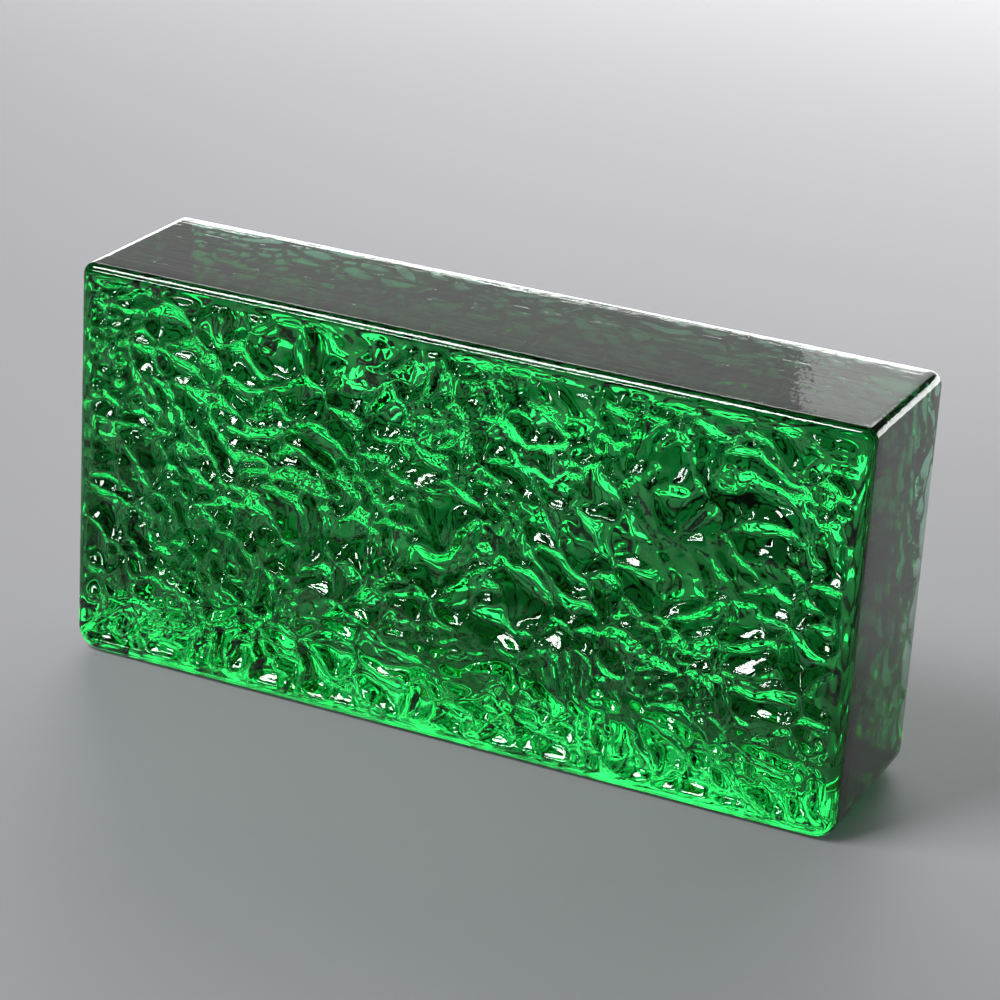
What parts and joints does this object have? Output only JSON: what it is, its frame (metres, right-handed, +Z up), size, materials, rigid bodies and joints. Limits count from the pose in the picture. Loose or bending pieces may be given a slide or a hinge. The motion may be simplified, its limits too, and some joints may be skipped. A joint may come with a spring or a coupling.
{
  "type": "solid glass block",
  "caption": "Solid cast block of clear green glass with a rippled relief on both large faces, laid in walls and light screens.",
  "frame": {"origin": "middle of the long narrow side that the block stands on", "axes": "+X along the length, +Y through the thickness away from the front face, +Z up the height"},
  "size_m": [0.2, 0.05, 0.1],
  "materials": {
    "green_glass": "clear green cast glass, fire polished all over, with a deep water-ripple relief on the two large faces"
  },
  "bodies": {
    "root": {"glass_block": "green_glass"}
  },
  "joints": []
}
